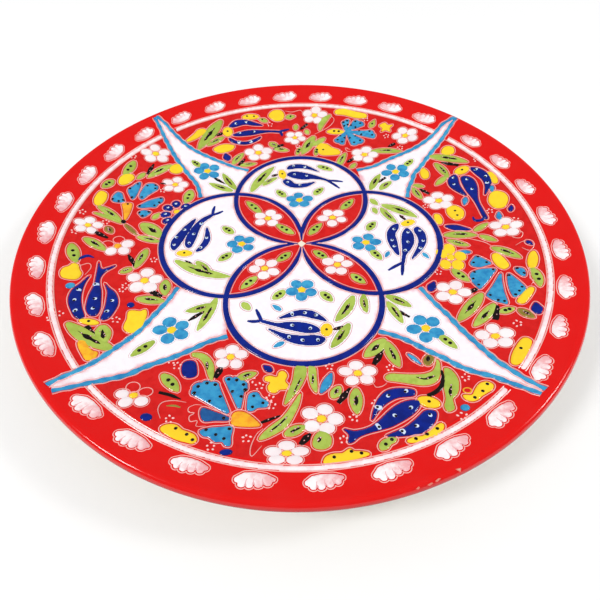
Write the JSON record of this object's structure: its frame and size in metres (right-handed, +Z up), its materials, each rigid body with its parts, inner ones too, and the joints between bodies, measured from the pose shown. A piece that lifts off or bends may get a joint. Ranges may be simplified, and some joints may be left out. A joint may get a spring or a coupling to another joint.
{
  "type": "ceramic wall plate",
  "caption": "Round dished ceramic plate on a foot ring, with raised enamel flowers, interlaced circles and pointed rays on its face, and a wire hanger at the back.",
  "frame": {"origin": "centre of the foot ring's resting plane", "axes": "+Z up through the plate's face, +Y towards the two hanger holes, which is the top of the plate on a wall"},
  "size_m": [0.3, 0.3, 0.0295],
  "materials": {
    "clay": "thin clear glaze over a cream body, bare clay on the foot",
    "red_glaze": "thick glossy glaze",
    "white_glaze": "glossy, washed with pink at its edges",
    "cobalt_glaze": "glossy raised enamel",
    "turquoise_glaze": "glossy raised enamel",
    "wire": "plain galvanised wire"
  },
  "bodies": {
    "plate": {"clay_body": "clay", "rim_band": "red_glaze", "medallion_lattice": "cobalt_glaze", "red_field_east": "red_glaze", "ring_east": "white_glaze", "white_ground_east": "white_glaze", "field_tulip_east": "cobalt_glaze", "carnation_east": "turquoise_glaze", "medallion_tulip_east": "cobalt_glaze", "red_field_north": "red_glaze", "ring_north": "white_glaze", "white_ground_north": "white_glaze", "field_tulip_north": "cobalt_glaze", "carnation_north": "turquoise_glaze", "medallion_tulip_north": "cobalt_glaze", "red_field_west": "red_glaze", "ring_west": "white_glaze", "white_ground_west": "white_glaze", "field_tulip_west": "cobalt_glaze", "carnation_west": "turquoise_glaze", "medallion_tulip_west": "cobalt_glaze", "red_field_south": "red_glaze", "ring_south": "white_glaze", "white_ground_south": "white_glaze", "field_tulip_south": "cobalt_glaze", "carnation_south": "turquoise_glaze", "medallion_tulip_south": "cobalt_glaze", "red_lens_northeast": "red_glaze", "white_spike_northeast": "white_glaze", "blue_edge_northeast": "turquoise_glaze", "red_lens_northwest": "red_glaze", "white_spike_northwest": "white_glaze", "blue_edge_northwest": "turquoise_glaze", "red_lens_southwest": "red_glaze", "white_spike_southwest": "white_glaze", "blue_edge_southwest": "turquoise_glaze", "red_lens_southeast": "red_glaze", "white_spike_southeast": "white_glaze", "blue_edge_southeast": "turquoise_glaze"},
    "hanger": {"hanging_wire": "wire"}
  },
  "joints": [
    {"name": "hanger_tilt", "type": "hinge", "parent": "plate", "child": "hanger", "pos_m": [0, 0.08838, 0.003], "axis": [1, 0, 0], "range_deg": [-4, 15]}
  ]
}
